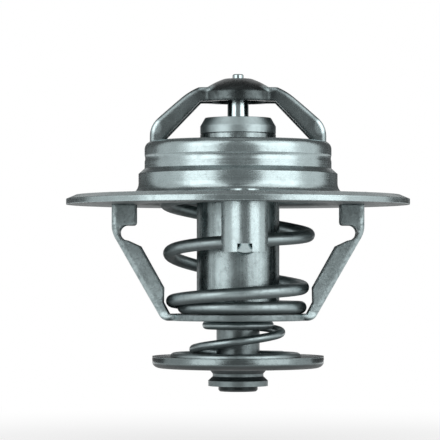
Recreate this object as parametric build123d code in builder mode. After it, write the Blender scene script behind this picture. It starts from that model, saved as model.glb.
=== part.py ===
from build123d import *
from math import cos, hypot, pi, radians, sin, sqrt
import os

# An engine thermostat, in millimetres. The origin is the centre of the flange's flat underside,
# +Z points to the arched bridge and the piston, and the lower frame's two legs stand along X.

# Flange and collar
flange_diameter = 54.0
flange_thickness = 1.5
flange_bevel_width = 1.5
flange_bevel_height = 0.64
collar_wall = 0.9
lower_step_radius = 15.65
lower_step_top = 4.8
step_in = 0.95
step_rise = 0.85
collar_top = 9.95
collar_curl_radius = 1.3
root_radius = 1.8
ledge_width = 0.35
ledge_land = 0.18
crease_depth = 0.1
crease_height = 1.0
crease_middle = 7.2
bore_edge_radius = 0.8

# Arched bridge with its base ring
bridge_sheet = 1.2
arm_half_width = 3.6
arm_bend_radius = 0.7
foot_top = 10.6
knee = (12.5, 13.45)
haunch = (8.8, 16.65)
shoulder = (6.2, 18.25)
skirt_bottom = 16.1
skirt_corner = 5.9
skirt_foot = 11.8
pad_radius = 6.0
pad_top = 19.75
pad_flat_radius = 2.2
pad_bulge = (4.2, 18.85)
pad_shoulder = 17.6

# Piston
piston_radius = 1.65
piston_end = -10.0
piston_taper_length = 4.0
piston_taper_radius = 0.95
piston_tip_radius = 0.86
piston_tip_proud = 0.75
piston_tip_chamfer = 0.15

# Wax element
cup_radius = 6.5
cup_wall = 0.6
cup_base = -18.2
cup_base_thickness = 1.2
cup_crimp_height = 0.9
cup_rim_height = 1.25
cup_corner_radius = 0.8
head_radius = 5.95
head_top = 13.6
head_seam = 11.1
head_seam_gap = 0.14
head_chamfer_width = 0.75
head_chamfer_height = 1.3
guide_bottom = 3.0
sleeve_radius = 3.1
sleeve_flange_thickness = 1.2
sleeve_end_thickness = 1.4
backup_radius = 3.6
backup_thickness = 1.0
wiper_radius = 3.0
wiper_thickness = 1.0
wiper_depth = 0.3

# Main valve
disc_sheet = 1.0
disc_radius = 14.3
disc_height = 3.5
disc_flat_radius = 10.3
disc_hub_radius = 8.4
disc_hub_rise = 1.5
disc_edge_radius = 0.3
seal_inner_radius = 13.0
seal_height = 0.64
lock_ring_wire = 1.2
lock_ring_depth = 0.35
lock_ring_gap_angle = 24.0

# Lower frame
frame_sheet = 1.0
frame_depth = 17.2
leg_half_width = 4.5
leg_reach = 19.7
leg_knee = 4.4
leg_slope_width = 7.9
leg_knee_radius = 4.0
leg_foot_radius = 1.6
leg_bend_radius = 0.8
tab_width = 3.65
tab_height = 3.26
tab_corner_radius = 0.5
notch_inset = 2.05
notch_radius = 0.95
notch_drop = 0.94
cheek_start_inset = 2.3
cheek_start_drop = 5.6
cheek_corner_inset = 4.35
cheek_corner_drop = 6.55
cheek_end_inset = 8.0
cheek_end_drop = 13.1
cheek_foot_inset = 7.95
cheek_foot_drop = 15.4
plate_edge_inset = 0.8
tenon_half_width = 2.0
tenon_head_height = 0.45
tenon_head_overhang = 0.4

# Springs
main_wire = 2.0
main_cup_gap = 1.05
main_leg_inset = 7.9
main_start_angle = -175.0
main_end_angle = 1260.0
main_turn_angles = (main_start_angle, 0.0, 180.0, 360.0, 540.0, 720.0, main_end_angle)
main_turn_shares = (0.0, 0.385, 0.554, 0.508, 0.692, 0.785, 1.0)
main_rise_start_angle = 29.0
main_rise_end_angle = 1152.0
main_lean_height = 0.8
main_sag_height = 0.42
bypass_wire = 1.1
bypass_coil_gap = 1.75
bypass_middle_share = 0.386
bypass_stem_gap = 1.0
bypass_start_angle = 36.0
bypass_leave_angle = 252.0
bypass_middle_angle = 576.0
bypass_close_angle = 684.0
bypass_top_angle = 900.0
bypass_end_angle = 1134.0
bypass_rise_start_angle = 392.0
bypass_rise_end_angle = 860.0
coil_step_angle = 26.0

# Bypass valve
stem_radius = 3.4
stem_end_radius = 3.1
stem_end = -29.35
stem_chamfer = 0.25
spigot_radius = 1.6
spigot_length = 2.5
bypass_diameter = 27.0
bypass_thickness = 1.7
bypass_depth = 25.65
bypass_rim_height = 1.85
bypass_rim_width = 0.6
bypass_flat_radius = 12.4
bypass_rim_straight = 1.05
retainer_neck_radius = 4.45
retainer_waist_radius = 4.0
retainer_foot_radius = 4.7
retainer_height = 2.85
retainer_neck_height = 0.35
retainer_waist_start = 0.9
retainer_waist_end = 1.35
retainer_foot_height = 0.85

# Vent valve
vent_x = 1.0
vent_rim_inset = 7.0
vent_radius = 3.5
vent_wall = 0.6
vent_length = 7.6
vent_head_thickness = 2.3
vent_hole_radius = 1.2
vent_spigot_radius = 2.2
vent_rivet_height = 0.35
vent_rivet_overhang = 0.3
vent_lip_radius = 1.9
vent_lip_thickness = 0.5
vent_slot_width = 2.2
vent_slot_height = 1.25
vent_ball_radius = 2.3

# Clearances
running_fit = 0.05
sliding_gap = 0.3
press_fit = 0.02
seat_gap = 0.12
spring_gap = 0.05

# Places worked out from the sizes above
flange_radius = flange_diameter / 2
upper_step_radius = lower_step_radius - step_in
lower_bore = lower_step_radius - collar_wall
upper_bore = upper_step_radius - collar_wall
step_top = lower_step_top + step_rise
seat_slope = step_rise / step_in
seat_bottom = lower_step_top - collar_wall * (hypot(step_in, step_rise) - step_rise) / step_in
ledge_radius = upper_bore - ledge_width
ledge_bottom = seat_bottom + (lower_bore - ledge_radius) * seat_slope
ledge_top = ledge_bottom + ledge_land
lip_radius = upper_step_radius - collar_curl_radius - press_fit
lip_bottom = collar_top - collar_wall
ring_radius = upper_bore - press_fit
ring_bore = ring_radius - bridge_sheet
piston_top = pad_top - bridge_sheet
cup_bore = cup_radius - cup_wall
cup_floor = cup_base + cup_base_thickness
cup_rim_top = head_seam - head_seam_gap / 2
cup_rim_bottom = cup_rim_top - cup_rim_height
cup_crimp_bottom = cup_rim_bottom - cup_crimp_height
neck_radius = head_radius - cup_wall
sleeve_top = guide_bottom
sleeve_bottom = piston_end - running_fit - sleeve_end_thickness
piston_bore = piston_radius + running_fit
disc_bore = cup_radius + running_fit
disc_hub_top = disc_height + disc_hub_rise + disc_sheet
seal_bottom = disc_height + disc_sheet
plate_top = -frame_depth
plate_bottom = plate_top - frame_sheet
plate_bore = cup_radius + sliding_gap
leg_slope_foot = leg_reach - leg_slope_width
plate_radius = leg_slope_foot - plate_edge_inset
notch_reach = leg_reach - notch_inset
cheek_start = (leg_reach - cheek_start_inset, -cheek_start_drop)
cheek_corner = (leg_reach - cheek_corner_inset, -cheek_corner_drop)
cheek_end = (leg_reach - cheek_end_inset, -cheek_end_drop)
cheek_foot = (leg_reach - cheek_foot_inset, -cheek_foot_drop)
main_inner_coil = cup_radius + main_cup_gap + main_wire / 2
main_outer_coil = leg_reach - main_leg_inset
bypass_bottom = -bypass_depth
bypass_floor = bypass_bottom + bypass_thickness
bypass_radius = bypass_diameter / 2
bypass_dish_radius = bypass_radius - 2 * bypass_rim_width
bypass_bottom_coil = bypass_dish_radius - bypass_coil_gap - bypass_wire / 2
bypass_top_coil = stem_radius + bypass_stem_gap + bypass_wire / 2
bypass_middle_coil = bypass_top_coil + (bypass_bottom_coil - bypass_top_coil) * bypass_middle_share
retainer_bottom = bypass_bottom - retainer_height
vent_seat = -vent_head_thickness
vent_bottom = -vent_length
vent_bore = vent_radius - vent_wall
vent_lip_top = vent_bottom + vent_lip_thickness
ball_height = vent_lip_top + sqrt(vent_ball_radius**2 - vent_lip_radius**2) + running_fit
vent_y = vent_rim_inset - flange_radius
vent_place = (vent_x, vent_y)


def smooth(share):
    """Ease from 0 to 1 with a level start and end."""
    held = min(max(share, 0.0), 1.0)
    return held * held * (3 - 2 * held)


def coil_points(start_angle, end_angle, radius_at, height_at):
    """Points along a right-handed coil, where angle 0 lies on +X and height rises with the angle."""
    steps = round((end_angle - start_angle) / coil_step_angle)
    points = []
    for step in range(steps + 1):
        angle = start_angle + (end_angle - start_angle) * step / steps
        reach = radius_at(angle)
        points.append((reach * cos(radians(angle)), reach * sin(radians(angle)), height_at(angle)))
    return points


def bridge_outline(bottom):
    """The arch's outer line, from its feet at the given height up to the pad, on both sides."""
    Line((ring_radius, bottom), (ring_radius, foot_top))
    lower_arc = TangentArc((ring_radius, foot_top), knee, tangent=(0, 1))
    middle_arc = TangentArc(knee, haunch, tangent=lower_arc % 1)
    TangentArc(haunch, shoulder, tangent=middle_arc % 1)
    Line(shoulder, (0, shoulder[1]))


def frame_outline():
    """The lower frame's outer line from the flange down one leg to the middle of its plate."""
    Polyline((leg_reach, 0), (leg_reach, -leg_knee), (leg_slope_foot, plate_bottom), (0, plate_bottom))


def round_frame_corners(corners, knee_radius, foot_radius):
    """Round the leg's two bends, at the knee and at the foot, on both sides."""
    for side in (-1, 1):
        fillet(corners.sort_by_distance((side * leg_reach, -leg_knee))[0], knee_radius)
    for side in (-1, 1):
        fillet(corners.sort_by_distance((side * leg_slope_foot, plate_bottom))[0], foot_radius)


# Flange housing: one pressing, a flat flange and a collar drawn up in two steps
crease_bottom = crease_middle - crease_height / 2
crease_top = crease_middle + crease_height / 2
with BuildPart() as flange_housing:
    with BuildSketch(Plane.XZ) as housing_profile:
        with BuildLine():
            Polyline(
                (upper_step_radius, crease_bottom),
                (upper_step_radius, step_top),
                (lower_step_radius, lower_step_top),
                (lower_step_radius, flange_thickness),
                (flange_radius - flange_bevel_width, flange_thickness),
                (flange_radius, flange_thickness - flange_bevel_height),
                (flange_radius, 0),
                (lower_bore, 0),
                (lower_bore, seat_bottom),
                (ledge_radius, ledge_bottom),
                (ledge_radius, ledge_top),
                (upper_bore, ledge_top),
                (upper_bore, lip_bottom),
                (lip_radius, lip_bottom),
                (lip_radius, collar_top),
                (upper_step_radius, collar_top),
                (upper_step_radius, crease_top),
            )
            ThreePointArc(
                (upper_step_radius, crease_top),
                (upper_step_radius - crease_depth, crease_middle),
                (upper_step_radius, crease_bottom),
            )
        make_face()
        corners = housing_profile.vertices()
        fillet(corners.sort_by_distance((lower_step_radius, flange_thickness))[0], root_radius)
        corners = housing_profile.vertices()
        fillet(corners.sort_by_distance((upper_step_radius, collar_top))[0], collar_curl_radius)
        corners = housing_profile.vertices()
        fillet(corners.sort_by_distance((lower_bore, 0))[0], bore_edge_radius)
    revolve(axis=Axis.Z)
    # slots for the lower frame's two tenons
    with BuildSketch(Plane.XY):
        with Locations((leg_reach - frame_sheet / 2, 0), (frame_sheet / 2 - leg_reach, 0)):
            Rectangle(frame_sheet + 2 * press_fit, 2 * (tenon_half_width + press_fit))
    extrude(amount=flange_thickness, mode=Mode.SUBTRACT)
    # hole for the vent valve's spigot
    with BuildSketch(Plane.XY):
        with Locations(vent_place):
            Circle(vent_spigot_radius + press_fit)
    extrude(amount=flange_thickness, mode=Mode.SUBTRACT)
    # gaps in the curled lip where the bridge's arms come out
    with BuildSketch(Plane.XY.offset(lip_bottom)):
        Rectangle(2 * (ring_radius + press_fit), 2 * (arm_half_width + press_fit))
    extrude(amount=collar_wall, mode=Mode.SUBTRACT)

# Upper bridge: a base ring held in the collar, two channel arms and a round pad over the piston
with BuildPart() as upper_bridge:
    with BuildSketch(Plane.XZ):
        with BuildLine():
            bridge_outline(lip_bottom)
            Polyline(
                (0, shoulder[1]),
                (0, skirt_bottom),
                (skirt_corner, skirt_bottom),
                (skirt_foot, collar_top),
                (ring_bore, lip_bottom),
                (ring_radius, lip_bottom),
            )
        make_face()
        mirror(about=Plane.YZ)
    extrude(amount=arm_half_width, both=True)
    face_edges = upper_bridge.edges().group_by(Axis.Y)
    outer_bends = (face_edges[0] + face_edges[-1]).filter_by(GeomType.CIRCLE)
    fillet(outer_bends, arm_bend_radius)
    # the round pad, with its skirt and its domed top
    with BuildSketch(Plane.XZ):
        with BuildLine():
            Line((0, pad_top), (pad_flat_radius, pad_top))
            ThreePointArc((pad_flat_radius, pad_top), pad_bulge, (pad_radius, pad_shoulder))
            Polyline(
                (pad_radius, pad_shoulder),
                (pad_radius, skirt_bottom),
                (0, skirt_bottom),
                (0, pad_top),
            )
        make_face()
    revolve(axis=Axis.Z)
    # the hollow inside the arms
    with BuildSketch(Plane.XZ):
        with BuildLine():
            bridge_outline(0)
            Line((ring_radius, 0), (0, 0))
            mirror(about=Plane.YZ)
        make_face()
        offset(amount=-bridge_sheet)
    extrude(amount=arm_half_width - bridge_sheet, both=True, mode=Mode.SUBTRACT)
    # the hollow inside the pad
    with BuildSketch(Plane.XZ):
        with BuildLine():
            Line((0, piston_top), (pad_flat_radius, piston_top))
            ThreePointArc(
                (pad_flat_radius, piston_top),
                (pad_bulge[0] - bridge_sheet * sin(pi / 4), pad_bulge[1] - bridge_sheet * cos(pi / 4)),
                (pad_radius - bridge_sheet, pad_shoulder - bridge_sheet / 2),
            )
            Polyline(
                (pad_radius - bridge_sheet, pad_shoulder - bridge_sheet / 2),
                (pad_radius - bridge_sheet, skirt_bottom),
                (0, skirt_bottom),
                (0, piston_top),
            )
        make_face()
    revolve(axis=Axis.Z, mode=Mode.SUBTRACT)
    # the base ring
    with BuildSketch(Plane.XY.offset(ledge_top)):
        Circle(ring_radius)
        Circle(ring_bore, mode=Mode.SUBTRACT)
    extrude(amount=lip_bottom - ledge_top)
    # the staking hole for the piston's tip
    with BuildSketch(Plane.XY.offset(piston_top)):
        Circle(piston_tip_radius + press_fit)
    extrude(amount=bridge_sheet, mode=Mode.SUBTRACT)

# Piston: its tip is staked in the bridge, and its tapered end sits in the rubber sleeve
with BuildPart() as piston:
    with BuildSketch(Plane.XZ):
        with BuildLine():
            Polyline(
                (0, pad_top + piston_tip_proud),
                (piston_tip_radius - piston_tip_chamfer, pad_top + piston_tip_proud),
                (piston_tip_radius, pad_top + piston_tip_proud - piston_tip_chamfer),
                (piston_tip_radius, piston_top),
                (piston_radius, piston_top),
                (piston_radius, piston_end + piston_taper_length),
                (piston_taper_radius, piston_end),
                (0, piston_end),
                (0, pad_top + piston_tip_proud),
            )
        make_face()
    revolve(axis=Axis.Z)

# Piston guide: the element's turned head, crimped into the cup's rim
with BuildPart() as piston_guide:
    with BuildSketch(Plane.XZ):
        with BuildLine():
            Polyline(
                (wiper_radius, head_top),
                (head_radius - head_chamfer_width, head_top),
                (head_radius, head_top - head_chamfer_height),
                (head_radius, head_seam + head_seam_gap / 2),
                (neck_radius - press_fit, head_seam + head_seam_gap / 2),
                (neck_radius - press_fit, cup_rim_bottom),
                (cup_bore - press_fit, cup_crimp_bottom),
                (cup_bore - press_fit, guide_bottom),
                (backup_radius + press_fit, guide_bottom),
                (backup_radius + press_fit, guide_bottom + backup_thickness),
                (piston_bore, guide_bottom + backup_thickness),
                (piston_bore, head_top - wiper_depth - wiper_thickness),
                (wiper_radius, head_top - wiper_depth - wiper_thickness),
                (wiper_radius, head_top),
            )
        make_face()
    revolve(axis=Axis.Z)

# Wiper seal in the top of the guide
with BuildPart() as piston_wiper:
    with BuildSketch(Plane.XY.offset(head_top - wiper_depth - wiper_thickness)):
        Circle(wiper_radius - press_fit)
        Circle(piston_bore, mode=Mode.SUBTRACT)
    extrude(amount=wiper_thickness)

# Backup washer between the guide and the rubber sleeve
with BuildPart() as backup_washer:
    with BuildSketch(Plane.XY.offset(guide_bottom)):
        Circle(backup_radius)
        Circle(piston_bore, mode=Mode.SUBTRACT)
    extrude(amount=backup_thickness)

# Rubber sleeve: the boot that the melting wax squeezes against the piston's taper
with BuildPart() as rubber_sleeve:
    with BuildSketch(Plane.XZ):
        with BuildLine():
            Polyline(
                (piston_bore, sleeve_top),
                (cup_bore - press_fit, sleeve_top),
                (cup_bore - press_fit, sleeve_top - sleeve_flange_thickness),
                (sleeve_radius, sleeve_top - sleeve_flange_thickness),
                (sleeve_radius, sleeve_bottom),
                (0, sleeve_bottom),
                (0, piston_end - running_fit),
                (piston_taper_radius + running_fit, piston_end - running_fit),
                (piston_bore, piston_end + piston_taper_length),
                (piston_bore, sleeve_top),
            )
        make_face()
    revolve(axis=Axis.Z)

# Wax charge round the sleeve
with BuildPart() as wax_charge:
    with BuildSketch(Plane.XZ):
        with BuildLine():
            Polyline(
                (0, cup_floor),
                (cup_bore - press_fit, cup_floor),
                (cup_bore - press_fit, sleeve_top - sleeve_flange_thickness),
                (sleeve_radius, sleeve_top - sleeve_flange_thickness),
                (sleeve_radius, sleeve_bottom),
                (0, sleeve_bottom),
                (0, cup_floor),
            )
        make_face()
    revolve(axis=Axis.Z)

# Wax cup: a deep cup, its rim crimped in over the guide, with a spigot for the stem under its base
groove_centre = disc_hub_top + lock_ring_wire / 2
with BuildPart() as wax_cup:
    with BuildSketch(Plane.XZ) as cup_profile:
        with BuildLine():
            Polyline(
                (0, cup_base - spigot_length),
                (spigot_radius, cup_base - spigot_length),
                (spigot_radius, cup_base),
                (cup_radius, cup_base),
                (cup_radius, cup_crimp_bottom),
                (head_radius, cup_rim_bottom),
                (head_radius, cup_rim_top),
                (neck_radius, cup_rim_top),
                (neck_radius, cup_rim_bottom),
                (cup_bore, cup_crimp_bottom),
                (cup_bore, cup_floor),
                (0, cup_floor),
                (0, cup_base - spigot_length),
            )
        make_face()
        fillet(cup_profile.vertices().sort_by_distance((cup_radius, cup_base))[0], cup_corner_radius)
    revolve(axis=Axis.Z)
    # the shallow groove for the lock ring
    with BuildSketch(Plane.XZ):
        with Locations((cup_radius - lock_ring_depth + lock_ring_wire / 2, groove_centre)):
            Circle(lock_ring_wire / 2)
    revolve(axis=Axis.Z, mode=Mode.SUBTRACT)

# Lock ring: a round-wire snap ring in the cup's groove, above the valve disc
with BuildPart() as disc_lock_ring:
    with BuildSketch(Plane.XZ):
        with Locations((cup_radius - lock_ring_depth + lock_ring_wire / 2, groove_centre)):
            Circle(lock_ring_wire / 2 - press_fit)
    revolve(axis=Axis.Z, revolution_arc=360 - lock_ring_gap_angle)

# Main valve disc: a pressed disc with a raised hub and a flat rim for the spring and the seal
with BuildPart() as main_valve_disc:
    with BuildSketch(Plane.XZ) as disc_profile:
        with BuildLine():
            Polyline(
                (disc_bore, disc_hub_top),
                (disc_hub_radius, disc_hub_top),
                (disc_flat_radius, seal_bottom),
                (disc_radius, seal_bottom),
                (disc_radius, disc_height),
                (disc_flat_radius - disc_sheet / 2, disc_height),
                (disc_hub_radius - disc_sheet / 2, disc_height + disc_hub_rise),
                (disc_bore, disc_height + disc_hub_rise),
                (disc_bore, disc_hub_top),
            )
        make_face()
        fillet(disc_profile.vertices().sort_by_distance((disc_radius, disc_height))[0], disc_edge_radius)
    revolve(axis=Axis.Z)

# Valve seal: a rubber ring on the disc's rim, bevelled like the seat inside the collar
seal_top = seal_bottom + seal_height
seal_edge = seat_bottom + (lower_bore - disc_radius) * seat_slope - seat_gap * hypot(1, seat_slope)
seal_top_radius = disc_radius - (seal_top - seal_edge) / seat_slope
with BuildPart() as valve_seal:
    with BuildSketch(Plane.XZ):
        with BuildLine():
            Polyline(
                (seal_inner_radius, seal_bottom),
                (disc_radius, seal_bottom),
                (disc_radius, seal_edge),
                (seal_top_radius, seal_top),
                (seal_inner_radius, seal_top),
                (seal_inner_radius, seal_bottom),
            )
        make_face()
    revolve(axis=Axis.Z)

# Main spring: a heavy conical coil between the frame's plate and the valve disc
main_bottom = plate_top + main_wire / 2 + spring_gap
main_top = disc_height - main_wire / 2 - spring_gap


def main_radius(angle):
    """The coil widens from its tucked-in end on the plate, fast at first, up to the disc."""
    turn = max(index for index, start in enumerate(main_turn_angles[:-1]) if start <= angle)
    turn_part = (angle - main_turn_angles[turn]) / (main_turn_angles[turn + 1] - main_turn_angles[turn])
    gained = main_turn_shares[turn + 1] - main_turn_shares[turn]
    share = main_turn_shares[turn] + gained * turn_part
    return main_inner_coil + (main_outer_coil - main_inner_coil) * share


def main_height(angle):
    """Closed turns at both ends and open turns between them, which lean right and sag at the back."""
    rise = smooth((angle - main_rise_start_angle) / (main_rise_end_angle - main_rise_start_angle))
    lean = main_lean_height * cos(radians(angle))
    sag = main_sag_height * (1 + sin(radians(angle)))
    return main_bottom + (main_top - main_bottom) * rise - (lean + sag) * sin(pi * rise)


with BuildPart() as main_spring:
    with BuildLine() as main_path:
        Spline(*coil_points(main_start_angle, main_end_angle, main_radius, main_height))
    with BuildSketch(Plane(origin=main_path.line @ 0, z_dir=main_path.line % 0)):
        Circle(main_wire / 2)
    sweep(path=main_path.line)

# Lower frame: one strap of channel section, two legs and a round plate under the spring
with BuildPart() as lower_frame:
    with BuildSketch(Plane.XZ) as leg_profile:
        with BuildLine():
            frame_outline()
            Polyline(
                (0, plate_bottom),
                (0, plate_top),
                (leg_slope_foot - frame_sheet, plate_top),
                cheek_foot,
                cheek_end,
                cheek_corner,
                cheek_start,
            )
            ThreePointArc(
                cheek_start,
                (notch_reach + notch_radius, -tab_height - notch_drop),
                (notch_reach, -tab_height),
            )
            Polyline(
                (notch_reach, -tab_height),
                (leg_reach - tab_width, -tab_height),
                (leg_reach - tab_width, 0),
                (leg_reach, 0),
            )
        make_face()
        corners = leg_profile.vertices()
        fillet(corners.sort_by_distance((leg_reach, -leg_knee))[0], leg_knee_radius)
        corners = leg_profile.vertices()
        fillet(corners.sort_by_distance((leg_slope_foot, plate_bottom))[0], leg_foot_radius)
        corners = leg_profile.vertices()
        fillet(corners.sort_by_distance((leg_reach - tab_width, -tab_height))[0], tab_corner_radius)
        mirror(about=Plane.YZ)
    extrude(amount=leg_half_width, both=True)
    # the rounded bends along the legs' outer edges
    face_edges = lower_frame.edges().group_by(Axis.Y)
    outer_bends = (face_edges[0] + face_edges[-1]).filter_by(GeomType.CIRCLE)
    knee_bends = outer_bends.filter_by(lambda edge: edge.radius > leg_foot_radius)
    fillet(knee_bends, leg_bend_radius)
    # the hollow between the cheeks
    with BuildSketch(Plane.XZ) as inside_profile:
        with BuildLine():
            frame_outline()
            Line((leg_reach, 0), (0, 0))
            mirror(about=Plane.YZ)
        make_face()
        round_frame_corners(inside_profile.vertices(), leg_knee_radius, leg_foot_radius)
        offset(amount=-frame_sheet)
    extrude(amount=leg_half_width - frame_sheet, both=True, mode=Mode.SUBTRACT)
    with BuildSketch(Plane.XY.offset(-frame_sheet)):
        Rectangle(2 * (leg_reach - frame_sheet), 2 * (leg_half_width - frame_sheet))
    extrude(amount=frame_sheet, mode=Mode.SUBTRACT)
    # the round plate and its hole for the cup
    with BuildSketch(Plane.XY.offset(plate_bottom)):
        Circle(plate_radius)
    extrude(amount=frame_sheet)
    with BuildSketch(Plane.XY.offset(plate_bottom)):
        Circle(plate_bore)
    extrude(amount=frame_sheet, mode=Mode.SUBTRACT)
    # tenons through the flange, spread over on top
    with BuildSketch(Plane.XY):
        with Locations((leg_reach - frame_sheet / 2, 0), (frame_sheet / 2 - leg_reach, 0)):
            Rectangle(frame_sheet, 2 * tenon_half_width)
    extrude(amount=flange_thickness)
    with BuildSketch(Plane.XY.offset(flange_thickness)):
        with Locations((leg_reach - frame_sheet / 2, 0), (frame_sheet / 2 - leg_reach, 0)):
            Rectangle(frame_sheet + 2 * tenon_head_overhang, 2 * (tenon_half_width + tenon_head_overhang))
    extrude(amount=tenon_head_height)

# Bypass stem: a turned pin under the cup, stepped down at its end
with BuildPart() as bypass_stem:
    with BuildSketch(Plane.XZ):
        with BuildLine():
            Polyline(
                (spigot_radius + press_fit, cup_base),
                (stem_radius, cup_base),
                (stem_radius, bypass_bottom),
                (stem_end_radius, bypass_bottom),
                (stem_end_radius, stem_end + stem_chamfer),
                (stem_end_radius - stem_chamfer, stem_end),
                (0, stem_end),
                (0, cup_base - spigot_length - press_fit),
                (spigot_radius + press_fit, cup_base - spigot_length - press_fit),
                (spigot_radius + press_fit, cup_base),
            )
        make_face()
    revolve(axis=Axis.Z)

# Bypass disc: a thick disc with a low rim and a rounded lower edge, which slides on the stem
bypass_rim_top = bypass_bottom + bypass_rim_height
bypass_bend_top = bypass_rim_top - bypass_rim_straight
with BuildPart() as bypass_disc:
    with BuildSketch(Plane.XZ):
        with BuildLine():
            Polyline(
                (stem_radius + running_fit, bypass_floor),
                (stem_radius + running_fit, bypass_bottom),
                (bypass_flat_radius, bypass_bottom),
            )
            bend_start = (bypass_flat_radius, bypass_bottom)
            TangentArc(bend_start, (bypass_radius, bypass_bend_top), tangent=(1, 0))
            Polyline(
                (bypass_radius, bypass_bend_top),
                (bypass_radius, bypass_rim_top),
                (bypass_radius - bypass_rim_width, bypass_rim_top),
                (bypass_dish_radius, bypass_floor),
                (stem_radius + running_fit, bypass_floor),
            )
        make_face()
    revolve(axis=Axis.Z)

# Bypass retainer: a waisted bush pressed on the stem's end
with BuildPart() as bypass_retainer:
    with BuildSketch(Plane.XZ):
        with BuildLine():
            Polyline(
                (stem_end_radius + press_fit, bypass_bottom),
                (retainer_neck_radius, bypass_bottom),
                (retainer_neck_radius, bypass_bottom - retainer_neck_height),
                (retainer_waist_radius, bypass_bottom - retainer_waist_start),
                (retainer_waist_radius, bypass_bottom - retainer_waist_end),
                (retainer_foot_radius, retainer_bottom + retainer_foot_height),
                (retainer_foot_radius, retainer_bottom),
                (stem_end_radius + press_fit, retainer_bottom),
                (stem_end_radius + press_fit, bypass_bottom),
            )
        make_face()
    revolve(axis=Axis.Z)

# Bypass spring: a light conical coil from the cup's base down to the disc, its lower end ground flat
bypass_top = cup_base - bypass_wire / 2 - spring_gap
bypass_low = bypass_floor + spring_gap


def bypass_radius_at(angle):
    """Wide on the disc, narrower in the open turn, and narrowest under the cup."""
    leave = smooth((angle - bypass_leave_angle) / (bypass_middle_angle - bypass_leave_angle))
    close = smooth((angle - bypass_close_angle) / (bypass_top_angle - bypass_close_angle))
    narrowed = (bypass_bottom_coil - bypass_middle_coil) * leave
    return bypass_bottom_coil - narrowed - (bypass_middle_coil - bypass_top_coil) * close


def bypass_height_at(angle):
    """A closed turn at each end and one steep open turn between them."""
    rise = smooth((angle - bypass_rise_start_angle) / (bypass_rise_end_angle - bypass_rise_start_angle))
    return bypass_low + (bypass_top - bypass_low) * rise


with BuildPart() as bypass_spring:
    with BuildLine() as bypass_path:
        Spline(*coil_points(bypass_start_angle, bypass_end_angle, bypass_radius_at, bypass_height_at))
    with BuildSketch(Plane(origin=bypass_path.line @ 0, z_dir=bypass_path.line % 0)):
        Circle(bypass_wire / 2)
    sweep(path=bypass_path.line)
    split(bisect_by=Plane.XY.offset(bypass_low), keep=Keep.TOP)

# Vent valve body: a small cage riveted through the flange, its lower edge cut into four claws
with BuildPart() as vent_body:
    with BuildSketch(Plane.XY.offset(vent_bottom)):
        with Locations(vent_place):
            Circle(vent_radius)
    extrude(amount=vent_length)
    with BuildSketch(Plane.XY.offset(vent_lip_top)):
        with Locations(vent_place):
            Circle(vent_bore)
    extrude(amount=vent_seat - vent_lip_top, mode=Mode.SUBTRACT)
    with BuildSketch(Plane.XY.offset(vent_bottom)):
        with Locations(vent_place):
            Circle(vent_lip_radius)
    extrude(amount=vent_lip_thickness, mode=Mode.SUBTRACT)
    with BuildSketch(Plane.XY.offset(vent_bottom)):
        with Locations(vent_place):
            Rectangle(vent_slot_width, 2 * vent_radius + vent_wall)
            Rectangle(2 * vent_radius + vent_wall, vent_slot_width)
    extrude(amount=vent_slot_height, mode=Mode.SUBTRACT)
    with BuildSketch(Plane.XY):
        with Locations(vent_place):
            Circle(vent_spigot_radius)
    extrude(amount=flange_thickness)
    with BuildSketch(Plane.XY.offset(flange_thickness)):
        with Locations(vent_place):
            Circle(vent_spigot_radius + vent_rivet_overhang)
    extrude(amount=vent_rivet_height)
    with BuildSketch(Plane.XY.offset(vent_seat)):
        with Locations(vent_place):
            Circle(vent_hole_radius)
    extrude(amount=vent_head_thickness + flange_thickness + vent_rivet_height, mode=Mode.SUBTRACT)

# Vent ball: loose in the cage
with BuildPart() as vent_ball:
    with Locations((vent_x, vent_y, ball_height)):
        Sphere(vent_ball_radius)

os.makedirs("parts", exist_ok=True)
finished = {
    "flange_housing": flange_housing,
    "upper_bridge": upper_bridge,
    "piston": piston,
    "piston_guide": piston_guide,
    "piston_wiper": piston_wiper,
    "backup_washer": backup_washer,
    "rubber_sleeve": rubber_sleeve,
    "wax_charge": wax_charge,
    "wax_cup": wax_cup,
    "disc_lock_ring": disc_lock_ring,
    "main_valve_disc": main_valve_disc,
    "valve_seal": valve_seal,
    "main_spring": main_spring,
    "lower_frame": lower_frame,
    "bypass_stem": bypass_stem,
    "bypass_disc": bypass_disc,
    "bypass_retainer": bypass_retainer,
    "bypass_spring": bypass_spring,
    "vent_body": vent_body,
    "vent_ball": vent_ball,
}
for label, builder in finished.items():
    builder.part.label = label
    export_step(builder.part, f"parts/{label}.step")
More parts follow.
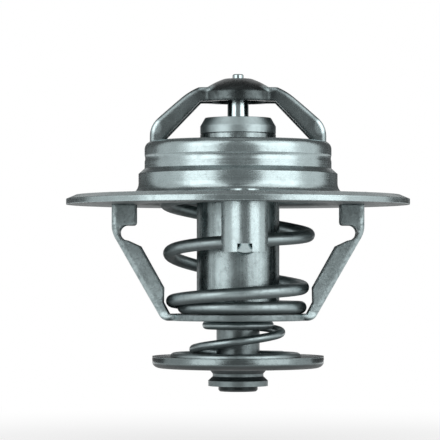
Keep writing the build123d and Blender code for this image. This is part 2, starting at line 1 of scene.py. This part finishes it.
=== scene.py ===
import math
import bmesh
import bpy
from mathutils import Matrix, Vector


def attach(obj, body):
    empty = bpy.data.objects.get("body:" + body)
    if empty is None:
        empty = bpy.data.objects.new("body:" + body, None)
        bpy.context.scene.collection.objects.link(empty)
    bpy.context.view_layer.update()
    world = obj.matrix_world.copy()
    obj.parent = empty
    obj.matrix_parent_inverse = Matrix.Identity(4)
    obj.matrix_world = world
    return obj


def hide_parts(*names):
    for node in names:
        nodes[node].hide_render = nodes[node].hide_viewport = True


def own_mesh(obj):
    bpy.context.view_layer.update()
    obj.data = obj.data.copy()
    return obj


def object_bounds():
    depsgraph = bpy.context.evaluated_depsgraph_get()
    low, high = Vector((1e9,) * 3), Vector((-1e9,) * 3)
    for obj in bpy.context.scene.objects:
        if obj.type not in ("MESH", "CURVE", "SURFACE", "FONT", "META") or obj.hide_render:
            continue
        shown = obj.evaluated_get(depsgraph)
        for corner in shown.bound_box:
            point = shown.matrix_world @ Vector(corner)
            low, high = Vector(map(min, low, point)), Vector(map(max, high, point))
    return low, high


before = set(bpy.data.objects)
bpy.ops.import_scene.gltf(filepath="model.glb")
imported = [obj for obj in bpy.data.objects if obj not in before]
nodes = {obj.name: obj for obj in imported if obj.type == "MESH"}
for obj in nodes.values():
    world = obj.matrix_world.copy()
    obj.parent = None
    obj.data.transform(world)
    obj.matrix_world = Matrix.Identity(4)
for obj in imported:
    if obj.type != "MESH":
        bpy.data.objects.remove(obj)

cad_low, cad_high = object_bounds()
MM = 0.001

# The steel's red and blue, as shares of its green
steel_red, steel_blue = 0.83, 1.02

# Most of a noise lies between these two.
noise_low, noise_high = 0.3, 0.7

# Values that the metal finishes share, with widths in mm
cloud_width, fine_width = 3.0, 0.35
cloud_share = 0.6
tone_low, tone_high = 0.32, 0.68
dull_fade, dull_level, dull_rough = 0.22, 0.3, 0.4
scratch_width = 0.05
across_lengths, along_lengths = (1.6, 2.4), (2.0, 1.4)
across_from, along_from, scratch_fade = 0.70, 0.71, 0.06
scuff_share, scuff_level = 0.35, 1.5
wear_flat, wear_bent = 0.99, 0.86
wear_gap_low, wear_gap_high = 0.35, 0.6
brightest = 0.95
# The uneven border of the patches of painted shade and painted highlights: where it starts, where it ends
# and how much it wobbles
patch_outside, patch_inside, patch_wobble = 1.15, 0.25, 0.15
grain_rough_low, grain_rough_high = -0.04, 0.05
line_relief, fine_relief, speck_relief, scuff_relief = 0.45, 0.35, 0.2, 0.12
metal_bump_strength = 0.6
draw_stretch, least_reach = 0.04, 0.01
# Painted shade on the faces that look down: where it starts and is full by how far the normal points down,
# how patchy it is, its level and its added roughness
underside_shade_from, underside_shade_full = -0.15, -0.6
underside_shade_patch_low, underside_shade_patch_high, underside_shade_least = 0.2, 0.5, 0.8
underside_shade_level, underside_shade_rough = 0.05, 0.3

# Values that the rubber, plastic and wax share, with widths in mm
moulded_cloud_width, moulded_skin_width = 2.5, 0.5
moulded_edge, moulded_bump, moulded_bump_strength = 0.08, 0.02, 0.5
moulded_specular, moulded_light_depth = 0.4, 1.0


# Node helpers
def steel(level):
    """The cool grey of the pressed steel, at that lightness."""
    return (level * steel_red, level, level * steel_blue, 1)


def grey(level):
    return (level, level, level, 1)


class Shader:
    """A material's node tree, with short calls for the nodes that the finishes share."""

    def __init__(self, name):
        self.material = bpy.data.materials.new(name)
        self.material.use_nodes = True
        self.tree = self.material.node_tree
        self.tree.nodes.clear()
        self.out = self.tree.nodes.new("ShaderNodeOutputMaterial")
        self.place = self.tree.nodes.new("ShaderNodeTexCoord").outputs["Object"]

    def node(self, kind, **values):
        made = self.tree.nodes.new(kind)
        for key, value in values.items():
            setattr(made, key, value)
        return made

    def link(self, source, socket):
        self.tree.links.new(source, socket)

    def put(self, socket, value):
        if isinstance(value, bpy.types.NodeSocket):
            self.link(value, socket)
        else:
            socket.default_value = value

    def maths(self, operation, first, second=0.0, clamp=False):
        made = self.node("ShaderNodeMath", operation=operation, use_clamp=clamp)
        self.put(made.inputs[0], first)
        self.put(made.inputs[1], second)
        return made.outputs[0]

    def plus(self, first, second, clamp=False):
        return self.maths("ADD", first, second, clamp)

    def minus(self, first, second):
        return self.maths("SUBTRACT", first, second)

    def times(self, first, second):
        return self.maths("MULTIPLY", first, second)

    def split(self, vector=None):
        made = self.node("ShaderNodeSeparateXYZ")
        self.link(vector or self.place, made.inputs[0])
        return made.outputs

    def joined(self, x, y, z):
        made = self.node("ShaderNodeCombineXYZ")
        for socket, value in zip(made.inputs, (x, y, z)):
            self.put(socket, value)
        return made.outputs[0]

    def reach(self, x, y):
        """Distance from the part's axis."""
        return self.maths("SQRT", self.plus(self.times(x, x), self.times(y, y)))

    def grid(self, *widths):
        """Object coordinates in units of a width in mm, the same along all axes or one for each."""
        made = self.node("ShaderNodeVectorMath", operation="MULTIPLY")
        self.link(self.place, made.inputs[0])
        made.inputs[1].default_value = [1 / (width * MM) for width in (widths * 3)[:3]]
        return made.outputs[0]

    def rings(self, width):
        """Coordinates for grain that runs round the axis, in units of its width in mm."""
        x, y, z = self.split()
        out = self.maths("DIVIDE", self.reach(x, y), width * MM)
        return self.joined(out, self.maths("DIVIDE", z, width * MM), 0.0)

    def draws(self, width, radius):
        """Coordinates for grain that runs up a drawn wall of that radius, both in mm."""
        x, y, z = self.split()
        reach = self.maths("MAXIMUM", self.reach(x, y), least_reach * MM)
        lines = radius / width
        return self.joined(
            self.times(self.maths("DIVIDE", x, reach), lines),
            self.times(self.maths("DIVIDE", y, reach), lines),
            self.times(z, draw_stretch / (width * MM)),
        )

    def noise(self, vector, detail, rough, distort=0.0):
        made = self.node("ShaderNodeTexNoise")
        self.link(vector, made.inputs["Vector"])
        made.inputs["Scale"].default_value = 1.0
        made.inputs["Detail"].default_value = detail
        made.inputs["Roughness"].default_value = rough
        made.inputs["Distortion"].default_value = distort
        return made.outputs["Fac"]

    def span(self, value, low, high, to_low=0.0, to_high=1.0, ease="LINEAR"):
        made = self.node("ShaderNodeMapRange", interpolation_type=ease)
        self.link(value, made.inputs["Value"])
        made.inputs["From Min"].default_value = low
        made.inputs["From Max"].default_value = high
        made.inputs["To Min"].default_value = to_low
        made.inputs["To Max"].default_value = to_high
        return made.outputs["Result"]

    def mixed(self, share, first, second):
        made = self.node("ShaderNodeMix", data_type="RGBA")
        self.put(made.inputs["Factor"], share)
        self.put(made.inputs["A"], first)
        self.put(made.inputs["B"], second)
        return made.outputs["Result"]

    def scuffs(self):
        """Fine scratches along and across the part."""
        across = self.noise(self.grid(scratch_width, *across_lengths), detail=1.0, rough=0.5)
        along = self.noise(self.grid(*along_lengths, scratch_width), detail=1.0, rough=0.5)
        return self.maths(
            "MAXIMUM",
            self.span(across, across_from, across_from + scratch_fade),
            self.span(along, along_from, along_from + scratch_fade),
        )

    def softened(self, width, samples):
        """The normal with its edges rounded off over a width in mm."""
        made = self.node("ShaderNodeBevel", samples=samples)
        made.inputs["Radius"].default_value = width * MM
        return made.outputs[0]

    def flatness(self, normal):
        """How well a softened normal agrees with the true one: 1 on a flat face, and less at an edge."""
        geometry = self.node("ShaderNodeNewGeometry")
        dot = self.node("ShaderNodeVectorMath", operation="DOT_PRODUCT")
        self.link(normal, dot.inputs[0])
        self.link(geometry.outputs["Normal"], dot.inputs[1])
        return dot.outputs["Value"]

    def patched(self, colour, patch, level, cloud):
        """A patch of another tone with an uneven border, used mostly as painted shade and painted
        highlights.
        """
        middle, radii, kept = patch
        far = 0.0
        for part, at, radius in zip(self.split(self.grid(*radii)), middle, radii):
            part = self.minus(part, at / radius)
            far = self.plus(far, self.times(part, part))
        far = self.plus(far, self.span(cloud, noise_low, noise_high, -patch_wobble, patch_wobble))
        share = self.span(far, patch_outside, patch_inside, ease="SMOOTHSTEP")
        return self.mixed(share, colour, steel(level * kept))

    def rolled(self, relief, middle, half, crown, bump):
        """Relief that also rounds a rim: the rim's middle height, half its height and its crown, in mm."""
        at = self.maths("DIVIDE", self.minus(self.split()[2], middle * MM), half * MM)
        rounded = self.maths("MAXIMUM", self.minus(1.0, self.times(at, at)), 0.0)
        return self.plus(relief, self.times(rounded, crown / (metal_bump_strength * bump)))

    def bumped(self, relief, height, strength, normal):
        """That normal with a relief of a height in mm on it."""
        made = self.node("ShaderNodeBump")
        made.inputs["Strength"].default_value = strength
        made.inputs["Distance"].default_value = height * MM
        self.link(relief, made.inputs["Height"])
        self.link(normal, made.inputs["Normal"])
        return made.outputs[0]

    def surface(self, colour, rough, normal):
        made = self.node("ShaderNodeBsdfPrincipled")
        self.link(colour, made.inputs["Base Color"])
        self.link(rough, made.inputs["Roughness"])
        self.link(normal, made.inputs["Normal"])
        self.link(made.outputs[0], self.out.inputs["Surface"])
        return made


def metal(
    name,
    level,
    rough,
    grain="blast",
    grain_width=0.12,
    radius=None,
    contrast=0.16,
    mottle=0.2,
    mottle_width=0.9,
    mottle_from=0.50,
    bump=0.02,
    edge=0.10,
    wear=0.35,
    worn_level=1.5,
    underside_shade=0.0,
    shade_and_highlight_patches=(),
    roll=None,
):
    """Sheet or turned metal: uneven tone, fine grain, dull spots, scuffs, small dents and worn edges.

    Widths, the bump's height and the radius of a drawn wall are in mm. Painted shade darkens the faces that
    look down and makes them rougher and less metallic. Patches of another tone, mostly painted shade and
    painted highlights, and a roll belong to places on the part, which the finishes name.
    """
    s = Shader(name)
    cloud = s.noise(s.grid(cloud_width), detail=4.0, rough=0.6, distort=0.4)
    fine = s.noise(s.grid(fine_width), detail=3.0, rough=0.65)
    speck = s.noise(s.grid(mottle_width), detail=3.0, rough=0.6, distort=0.8)
    if grain == "rings":
        lines = s.noise(s.rings(grain_width), detail=2.0, rough=0.6)
    elif grain == "draws":
        lines = s.noise(s.draws(grain_width, radius), detail=2.0, rough=0.6)
    else:
        lines = s.noise(s.grid(grain_width), detail=2.0, rough=0.7)
    scuff = s.scuffs()
    rounded = s.softened(edge, samples=6)

    tone = s.plus(s.times(cloud, cloud_share), s.times(lines, 1 - cloud_share))
    dark, light = steel(level * (1 - contrast)), steel(level * (1 + contrast))
    colour = s.mixed(s.span(tone, tone_low, tone_high), dark, light)
    dull = s.span(speck, mottle_from, mottle_from + dull_fade, 0.0, mottle)
    colour = s.mixed(dull, colour, steel(level * dull_level))
    colour = s.mixed(s.times(scuff, scuff_share), colour, steel(level * scuff_level))
    worn = s.span(s.flatness(rounded), wear_flat, wear_bent, 0.0, wear)
    worn = s.times(worn, s.span(fine, wear_gap_low, wear_gap_high))
    colour = s.mixed(worn, colour, steel(min(brightest, level * worn_level)))
    # Patches of another tone, mostly painted shade and painted highlights
    for patch in shade_and_highlight_patches:
        colour = s.patched(colour, patch, level, cloud)

    gloss = s.plus(
        s.span(cloud, noise_low, noise_high, rough[0], rough[1]),
        s.span(lines, noise_low, noise_high, grain_rough_low, grain_rough_high),
    )
    gloss = s.plus(gloss, s.times(dull, dull_rough), clamp=True)

    relief = s.plus(s.times(lines, line_relief), s.times(fine, fine_relief))
    relief = s.plus(relief, s.times(speck, speck_relief + mottle))
    relief = s.minus(relief, s.times(scuff, scuff_relief))
    if roll:
        relief = s.rolled(relief, *roll, bump)
    normal = s.bumped(relief, bump, metal_bump_strength, rounded)

    metallic = 1.0
    # Painted shade on the faces that look down, which also makes them rougher and less metallic
    if underside_shade:
        facing = s.split(s.node("ShaderNodeNewGeometry").outputs["Normal"])[2]
        patchy = s.span(cloud, underside_shade_patch_low, underside_shade_patch_high, underside_shade_least, 1.0)
        down = s.times(s.span(facing, underside_shade_from, underside_shade_full), patchy)
        colour = s.mixed(s.times(down, underside_shade), colour, steel(underside_shade_level))
        gloss = s.plus(gloss, s.times(down, underside_shade_rough), clamp=True)
        metallic = s.minus(1.0, s.times(down, underside_shade))
    shader = s.surface(colour, gloss, normal)
    s.put(shader.inputs["Metallic"], metallic)
    return s.material


def moulded(name, dark, light, rough, subsurface=0.0):
    """Rubber, plastic or wax: slight clouding, a fine skin and softened edges."""
    s = Shader(name)
    cloud = s.noise(s.grid(moulded_cloud_width), detail=4.0, rough=0.6)
    skin = s.noise(s.grid(moulded_skin_width), detail=4.0, rough=0.7)
    colour = s.mixed(s.span(cloud, noise_low, noise_high), dark, light)
    gloss = s.span(skin, noise_low, noise_high, rough[0], rough[1])
    normal = s.bumped(skin, moulded_bump, moulded_bump_strength, s.softened(moulded_edge, samples=4))
    shader = s.surface(colour, gloss, normal)
    shader.inputs["Specular IOR Level"].default_value = moulded_specular
    shader.inputs["Subsurface Weight"].default_value = subsurface
    shader.inputs["Subsurface Scale"].default_value = moulded_light_depth * MM
    return s.material


# Finishes
def mirrored(middle, radii, kept):
    """The same stain at four places, which mirror each other in X and in Y."""
    x, y, z = middle
    return [((x * right, y * back, z), radii, kept) for right in (1, -1) for back in (1, -1)]


# Each patch has its centre, its radii in mm, and its share of the finish's level.
# Painted shade over the middle of the bridge's pad
pad_painted_shade = ((0, 0, 17.5), (8.5, 9, 3.2), 0.16)
# Painted highlights on the pad's shoulders
pad_shoulder_highlights = mirrored((4.8, 2.6, 18.2), (1.7, 2.2, 0.8), 1.7)
# Painted highlights on the outer bends at the feet of the bridge's arms
arm_bend_highlights = mirrored((12.8, 3.3, 12.0), (1.0, 1.6, 1.3), 2.2)
# A darker band round the edge of the frame's plate
plate_edge_darkening = ((0, 0, -17.8), (12.5, 20, 1.6), 0.42)
# Painted highlights on the frame's bends, where the legs meet the plate
leg_bend_highlights = mirrored((11.2, 4.3, -17.2), (1.1, 1.0, 0.6), 1.9)
# Painted shade over the end of the bypass stem
stem_end_painted_shade = ((0, 0, -28.6), (9, 9, 2.0), 0.14)
# Painted shade in a band round the bypass disc's rim
disc_edge_painted_shade = ((0, 0, -25.5), (60, 60, 0.65), 0.35)
# The roll on the bypass disc's rim has its middle height, half its height and its crown in mm.
disc_rim_roll = (-24.8, 0.8, 0.13)

# The shade given for faces that look down is painted shade, and the patches are mostly painted shade and
# painted highlights.
finishes = {
    "flange_housing": metal(
        "housing_steel_finish",
        level=0.46,
        rough=(0.20, 0.29),
        grain="rings",
        grain_width=0.22,
        contrast=0.12,
        mottle=0.15,
        edge=0.15,
        wear=0.1,
        underside_shade=0.9,
    ),
    "upper_bridge": metal(
        "bridge_steel_finish",
        level=0.29,
        rough=(0.2, 0.3),
        mottle=0.3,
        edge=0.7,
        wear=0.06,
        # The pad gets painted shade in its middle and painted highlights on its shoulders, and the arms'
        # outer bends get painted highlights
        shade_and_highlight_patches=[pad_painted_shade] + pad_shoulder_highlights + arm_bend_highlights,
    ),
    "piston": metal(
        "piston_steel_finish",
        level=0.55,
        rough=(0.12, 0.2),
        grain="rings",
        grain_width=0.1,
        contrast=0.08,
        mottle=0.1,
        bump=0.006,
    ),
    "piston_guide": metal(
        "guide_brass_finish",
        level=0.48,
        rough=(0.36, 0.46),
        grain="rings",
        grain_width=0.1,
        contrast=0.08,
        mottle=0.15,
        bump=0.012,
    ),
    "wax_cup": metal(
        "cup_metal_finish",
        level=0.37,
        rough=(0.22, 0.31),
        grain="draws",
        grain_width=0.5,
        radius=6.5,
        contrast=0.40,
    ),
    "disc_lock_ring": metal("lock_ring_finish", level=0.36, rough=(0.25, 0.35)),
    "main_valve_disc": metal(
        "disc_steel_finish", level=0.3, rough=(0.25, 0.35), grain="rings", grain_width=0.2, underside_shade=0.6
    ),
    "lower_frame": metal(
        "frame_steel_finish",
        level=0.46,
        rough=(0.30, 0.42),
        contrast=0.3,
        mottle=0.52,
        mottle_width=0.7,
        mottle_from=0.44,
        bump=0.04,
        edge=0.45,
        wear=0.8,
        worn_level=0.35,
        # The frame's bends get painted highlights, and the plate's edge a darker band
        shade_and_highlight_patches=[plate_edge_darkening] + leg_bend_highlights,
    ),
    "bypass_stem": metal(
        "stem_metal_finish",
        level=0.21,
        rough=(0.26, 0.34),
        grain="rings",
        grain_width=0.1,
        underside_shade=0.8,
        # Painted shade over the stem's end
        shade_and_highlight_patches=[stem_end_painted_shade],
    ),
    "bypass_disc": metal(
        "bypass_steel_finish",
        level=0.22,
        rough=(0.16, 0.26),
        grain="rings",
        grain_width=0.15,
        edge=0.2,
        wear=0.06,
        underside_shade=0.9,
        # Painted shade in a band round the disc's rim
        shade_and_highlight_patches=[disc_edge_painted_shade],
        roll=disc_rim_roll,
    ),
    "bypass_retainer": metal(
        "retainer_finish", level=0.22, rough=(0.3, 0.4), grain="rings", grain_width=0.1, underside_shade=0.8
    ),
    "vent_body": metal(
        "vent_steel_finish",
        level=0.48,
        rough=(0.2, 0.3),
        grain="draws",
        grain_width=0.1,
        radius=20.0,
        contrast=0.1,
        mottle=0.15,
    ),
    "vent_ball": metal("vent_ball_finish", level=0.55, rough=(0.1, 0.16)),
    "piston_wiper": moulded("wiper_rubber_finish", grey(0.02), grey(0.035), rough=(0.5, 0.65)),
    "rubber_sleeve": moulded("sleeve_rubber_finish", grey(0.02), grey(0.035), rough=(0.5, 0.65)),
    "valve_seal": moulded("seal_rubber_finish", grey(0.018), grey(0.03), rough=(0.45, 0.6)),
    "backup_washer": moulded("washer_plastic_finish", grey(0.7), grey(0.78), rough=(0.4, 0.5)),
    "wax_charge": moulded(
        "wax_finish", (0.30, 0.14, 0.07, 1), (0.42, 0.22, 0.12, 1), rough=(0.45, 0.6), subsurface=0.2
    ),
}
for name, finish in finishes.items():
    for slot in nodes[name].material_slots:
        slot.material = finish

# The wires' darker faces that look down are painted shade.
main_wire_finish = metal(
    "spring_steel_finish",
    level=0.40,
    rough=(0.34, 0.46),
    grain_width=0.2,
    contrast=0.14,
    mottle=0.3,
    underside_shade=0.7,
)
bypass_wire_finish = metal(
    "bypass_wire_finish",
    level=0.36,
    rough=(0.28, 0.38),
    grain_width=0.2,
    contrast=0.12,
    bump=0.015,
    underside_shade=0.5,
)

# Springs: round wire coils, each carried by one body

# Sizes are in mm and angles in degrees, and both coils follow their solids' centre lines. Only the bypass
# wire is thicker than its solid's, as in the photo, and its top turn lies a little lower, clear of the cup.
main_wire = 2.0
main_start_angle, main_end_angle = -175.0, 1260.0
main_turn_angles = (main_start_angle, 0.0, 180.0, 360.0, 540.0, 720.0, main_end_angle)
main_turn_shares = (0.0, 0.385, 0.554, 0.508, 0.692, 0.785, 1.0)
main_inner_coil, main_outer_coil = 8.55, 11.8
main_rise_start_angle, main_rise_end_angle = 29.0, 1152.0
main_bottom, main_top = -16.15, 2.45
main_lean_height, main_sag_height = 0.8, 0.42

bypass_wire = 1.35
bypass_start_angle, bypass_end_angle = 45.0, 1134.0
bypass_bottom_coil, bypass_middle_coil, bypass_top_coil = 10.0, 6.9, 4.95
bypass_leave_angle, bypass_middle_angle = 252.0, 576.0
bypass_close_angle, bypass_top_angle = 684.0, 900.0
bypass_rise_start_angle, bypass_rise_end_angle = 392.0, 860.0
bypass_low, bypass_top = -23.9, -18.93

coil_step_angle, tangent_half_angle, crease_angle = 5.0, 0.5, 40
end_burr_width, end_burr_height = 0.06, 0.05


def smooth(angle, start, end):
    """How far an angle has come from start to end, easing in and out."""
    share = min(max((angle - start) / (end - start), 0.0), 1.0)
    return share * share * (3 - 2 * share)


def around(angle, reach, height):
    return Vector((reach * math.cos(math.radians(angle)), reach * math.sin(math.radians(angle)), height))


def main_centre(angle):
    """The coil widens from its tucked-in end on the plate, and its open turns lean right and sag behind."""
    turn = max(index for index, start in enumerate(main_turn_angles[:-1]) if index == 0 or start <= angle)
    turn_part = (angle - main_turn_angles[turn]) / (main_turn_angles[turn + 1] - main_turn_angles[turn])
    share = main_turn_shares[turn] + (main_turn_shares[turn + 1] - main_turn_shares[turn]) * turn_part
    reach = main_inner_coil + (main_outer_coil - main_inner_coil) * share
    rise = smooth(angle, main_rise_start_angle, main_rise_end_angle)
    lean = main_lean_height * math.cos(math.radians(angle))
    sag = main_sag_height * (1 + math.sin(math.radians(angle)))
    height = main_bottom + (main_top - main_bottom) * rise - (lean + sag) * math.sin(math.pi * rise)
    return around(angle, reach, height) * MM


def bypass_centre(angle):
    """Wide on the disc, narrower in the one steep open turn, and narrowest under the cup."""
    leave = smooth(angle, bypass_leave_angle, bypass_middle_angle)
    close = smooth(angle, bypass_close_angle, bypass_top_angle)
    narrowed = (bypass_bottom_coil - bypass_middle_coil) * leave
    reach = bypass_bottom_coil - narrowed - (bypass_middle_coil - bypass_top_coil) * close
    rise = smooth(angle, bypass_rise_start_angle, bypass_rise_end_angle)
    return around(angle, reach, bypass_low + (bypass_top - bypass_low) * rise) * MM


def coil(name, centre, start, end, wire, sides, ground=None):
    """A wire swept along a coil, with cropped, slightly burred ends, and ground flat at a height in mm."""
    mesh = bmesh.new()
    rings = []
    count = round((end - start) / coil_step_angle)
    for i in range(count + 1):
        angle = start + (end - start) * i / count
        here = centre(angle)
        ahead = (centre(angle + tangent_half_angle) - centre(angle - tangent_half_angle)).normalized()
        out = around(angle, 1, 0)
        out = (out - ahead * out.dot(ahead)).normalized()
        up = ahead.cross(out)
        ring = []
        for side in range(sides):
            turn = math.tau * side / sides
            ring.append(mesh.verts.new(here + (out * math.cos(turn) + up * math.sin(turn)) * wire / 2 * MM))
        rings.append(ring)
    for one, two in zip(rings, rings[1:]):
        for side in range(sides):
            after = (side + 1) % sides
            mesh.faces.new((one[side], two[side], two[after], one[after]))
    for ring in (rings[0], rings[-1][::-1]):
        cap = mesh.faces.new(ring)
        bmesh.ops.inset_region(
            mesh, faces=[cap], thickness=wire * end_burr_width * MM, depth=wire * end_burr_height * MM
        )
    if ground is not None:
        everything = mesh.verts[:] + mesh.edges[:] + mesh.faces[:]
        cut = bmesh.ops.bisect_plane(
            mesh, geom=everything, plane_co=(0, 0, ground * MM), plane_no=(0, 0, 1), clear_inner=True
        )
        edges = [piece for piece in cut["geom_cut"] if isinstance(piece, bmesh.types.BMEdge)]
        bmesh.ops.contextual_create(mesh, geom=edges)
    bmesh.ops.recalc_face_normals(mesh, faces=mesh.faces)
    data = bpy.data.meshes.new(name)
    mesh.to_mesh(data)
    mesh.free()
    data.shade_smooth()
    data.set_sharp_from_angle(angle=math.radians(crease_angle))
    made = bpy.data.objects.new(name, data)
    bpy.context.scene.collection.objects.link(made)
    return made


main_spring = coil("main_spring_coil", main_centre, main_start_angle, main_end_angle, main_wire, sides=20)
main_spring.data.materials.append(main_wire_finish)
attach(main_spring, "housing")
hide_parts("main_spring")
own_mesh(main_spring)
bypass_spring = coil(
    "bypass_spring_coil",
    bypass_centre,
    bypass_start_angle,
    bypass_end_angle,
    bypass_wire,
    sides=16,
    ground=bypass_low,
)
bypass_spring.data.materials.append(bypass_wire_finish)
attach(bypass_spring, "element")
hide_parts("bypass_spring")
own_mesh(bypass_spring)

# Floor, light and camera

# Places and sizes are in metres, and a level is 1 for white.
# The floor is just lower than the valve's lowest point when it is fully open.
floor_drop, floor_width = 0.0085, 6
floor_height = cad_low.z - floor_drop
paper_level = 0.86
# The share of plain white in the paper under the part, and the distances over which it grows to 1
white_share, white_from, white_to = 0.72, 0.01, 0.11

# Cards that stand round the part: name, azimuth, distance, width and level
standing_height, standing_middle = 1.0, 0.46
standing_cards = (
    ("card_front", 0, 1.10, 1.06, 0.31),
    ("card_right", 97, 0.80, 0.58, 1.05),
    ("card_left", -97, 0.80, 0.58, 0.80),
    ("card_rear_right", 138, 0.90, 0.84, 0.12),
    ("card_rear_left", -138, 0.90, 0.84, 0.12),
)
# The other cards: name, size, place, the way that each faces, and level
other_cards = (
    ("card_back_low", (1.10, 0.28), (0.0, 1.10, 0.10), (0, -1, 0), 0.12),
    ("card_back_high", (1.10, 0.70), (0.0, 1.10, 0.60), (0, -1, 0), 0.55),
    ("card_above", (1.9, 2.1), (0.0, -0.05, 0.95), (0, 0, -1), 0.16),
    ("card_overhead", (0.6, 0.6), (0.0, 0.1, 0.94), (0, 0, -1), 0.38),
    ("card_table", (1.06, 0.95), (0.0, -0.61, floor_height + 0.001), (0, 0, 1), 0.14),
)
sky_level = 0.35

# Soft boxes, which face one point of the part: name, place, size and level
light_aim = (0, 0, -0.005)
softboxes = (
    ("softbox_right", (0.343, -0.291, 0.22), (0.47, 0.72), 1.50),
    ("softbox_left", (-0.313, -0.323, 0.22), (0.38, 0.72), 1.50),
)

# The camera's lens and sensor are in mm, and its shifts are shares of the picture's width.
camera_place = (0.0, -0.400, -0.0101)
camera_lens, camera_sensor = 208.0, 36.0
camera_shift_x, camera_shift_y = -0.041, 0.111
camera_near, camera_far = 0.01, 20.0


def plane(name, size, place, facing):
    mesh = bpy.data.meshes.new(name)
    x, y = size[0] / 2, size[1] / 2
    mesh.from_pydata([(-x, -y, 0), (x, -y, 0), (x, y, 0), (-x, y, 0)], [], [(0, 1, 2, 3)])
    made = bpy.data.objects.new(name, mesh)
    bpy.context.scene.collection.objects.link(made)
    made.location = place
    made.rotation_euler = Vector(facing).to_track_quat("Z", "Y").to_euler()
    return made


def seen_directly(tree):
    """1 for camera, glossy and transmission rays, and 0 for the rays that carry diffuse light."""
    path = tree.nodes.new("ShaderNodeLightPath")
    total = path.outputs["Is Camera Ray"]
    for name in ("Is Glossy Ray", "Is Transmission Ray"):
        made = tree.nodes.new("ShaderNodeMath")
        made.operation = "MAXIMUM"
        tree.links.new(total, made.inputs[0])
        tree.links.new(path.outputs[name], made.inputs[1])
        total = made.outputs[0]
    return total


def floor_paper():
    """Pale paper that shows white away from the part, keeps its shadow, and is clear from below."""
    s = Shader("floor_paper")
    x, y, z = s.split()
    paper = s.node("ShaderNodeBsdfDiffuse")
    paper.inputs["Color"].default_value = grey(paper_level)
    white = s.node("ShaderNodeEmission")
    white.inputs["Strength"].default_value = 1.0
    away = s.span(s.reach(x, y), white_from, white_to, white_share, 1.0, "SMOOTHSTEP")
    blend = s.node("ShaderNodeMixShader")
    s.link(s.times(away, seen_directly(s.tree)), blend.inputs[0])
    s.link(paper.outputs[0], blend.inputs[1])
    s.link(white.outputs[0], blend.inputs[2])
    clear = s.node("ShaderNodeBsdfTransparent")
    one_sided = s.node("ShaderNodeMixShader")
    s.link(s.node("ShaderNodeNewGeometry").outputs["Backfacing"], one_sided.inputs[0])
    s.link(blend.outputs[0], one_sided.inputs[1])
    s.link(clear.outputs[0], one_sided.inputs[2])
    s.link(one_sided.outputs[0], s.out.inputs["Surface"])
    return s.material


def card(name, size, place, facing, level):
    """A card from white to dark grey, which the metal shows as a band and the camera doesn't see."""
    made = plane(name, size, place, facing)
    s = Shader(name + "_grey")
    glow = s.node("ShaderNodeEmission")
    glow.inputs["Color"].default_value = grey(level)
    glow.inputs["Strength"].default_value = 1.0
    s.link(glow.outputs[0], s.out.inputs["Surface"])
    made.data.materials.append(s.material)
    made.visible_camera = False


def studio_world():
    """White where it is seen directly, and dim for the diffuse light that it gives."""
    world = bpy.data.worlds.new("studio")
    world.use_nodes = True
    tree = world.node_tree
    tree.nodes.clear()
    mix = tree.nodes.new("ShaderNodeMixShader")
    tree.links.new(seen_directly(tree), mix.inputs[0])
    for socket, strength in ((mix.inputs[1], sky_level), (mix.inputs[2], 1.0)):
        sky = tree.nodes.new("ShaderNodeBackground")
        sky.inputs["Color"].default_value = grey(1)
        sky.inputs["Strength"].default_value = strength
        tree.links.new(sky.outputs[0], socket)
    tree.links.new(mix.outputs[0], tree.nodes.new("ShaderNodeOutputWorld").inputs["Surface"])
    return world


def softbox(name, place, size, level):
    light = bpy.data.lights.new(name, "AREA")
    light.shape = "RECTANGLE"
    light.size, light.size_y = size
    light.energy = level * math.pi * size[0] * size[1]
    made = bpy.data.objects.new(name, light)
    bpy.context.scene.collection.objects.link(made)
    made.location = place
    made.rotation_euler = (Vector(place) - Vector(light_aim)).to_track_quat("Z", "Y").to_euler()
    made.visible_camera = False


floor = plane("floor", (floor_width, floor_width), (0, 0, floor_height), (0, 0, 1))
floor.data.materials.append(floor_paper())
for name, azimuth, away, width, level in standing_cards:
    x, y = math.sin(math.radians(azimuth)), -math.cos(math.radians(azimuth))
    card(name, (width, standing_height), (x * away, y * away, standing_middle), (-x, -y, 0), level)
for values in other_cards:
    card(*values)
bpy.context.scene.world = studio_world()
for values in softboxes:
    softbox(*values)

camera = bpy.data.cameras.new("photo_camera")
camera.lens = camera_lens
camera.sensor_width = camera_sensor
camera.shift_x, camera.shift_y = camera_shift_x, camera_shift_y
camera.clip_start, camera.clip_end = camera_near, camera_far
eye = bpy.data.objects.new("photo_camera", camera)
bpy.context.scene.collection.objects.link(eye)
eye.location = camera_place
eye.rotation_euler = (math.radians(90), 0, 0)
bpy.context.scene.camera = eye
bpy.context.scene.view_settings.view_transform = "Standard"
